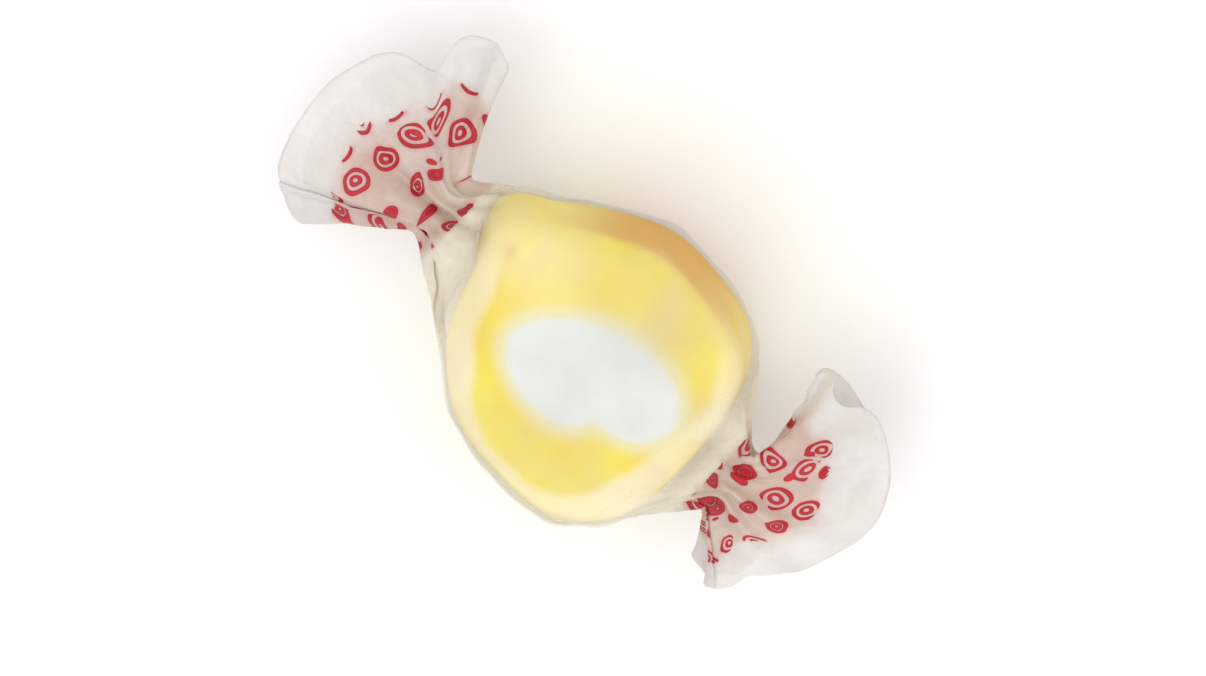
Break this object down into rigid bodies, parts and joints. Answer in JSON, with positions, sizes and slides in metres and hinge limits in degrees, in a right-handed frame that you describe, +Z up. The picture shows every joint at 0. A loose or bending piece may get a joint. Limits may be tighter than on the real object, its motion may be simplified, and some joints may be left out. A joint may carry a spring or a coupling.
{
  "type": "wrapped salt water taffy",
  "caption": "Short cut of soft yellow taffy rope with a white core, rolled in translucent waxed paper that is twisted into a neck and a flared fan at each end.",
  "frame": {"origin": "on the flat underside of the wrapper, straight below the middle of the line from neck to neck", "axes": "+X along the twist from the larger fan to the smaller one, +Z up along the taffy rope's own axis, +Y towards the side of the rope that the picture shows past the cut face"},
  "size_m": [0.057, 0.0261, 0.0191],
  "materials": {
    "yellow_taffy": "chewy lemon-yellow pulled taffy, satin where the paper presses on it",
    "white_taffy": "white pulled taffy, satin",
    "waxed_paper": "translucent waxed paper, clear where it clings and milky where it is loose, with loose red print marks near both twists"
  },
  "bodies": {
    "root": {"taffy": "yellow_taffy", "core": "white_taffy", "wrapper": "waxed_paper"}
  },
  "joints": []
}
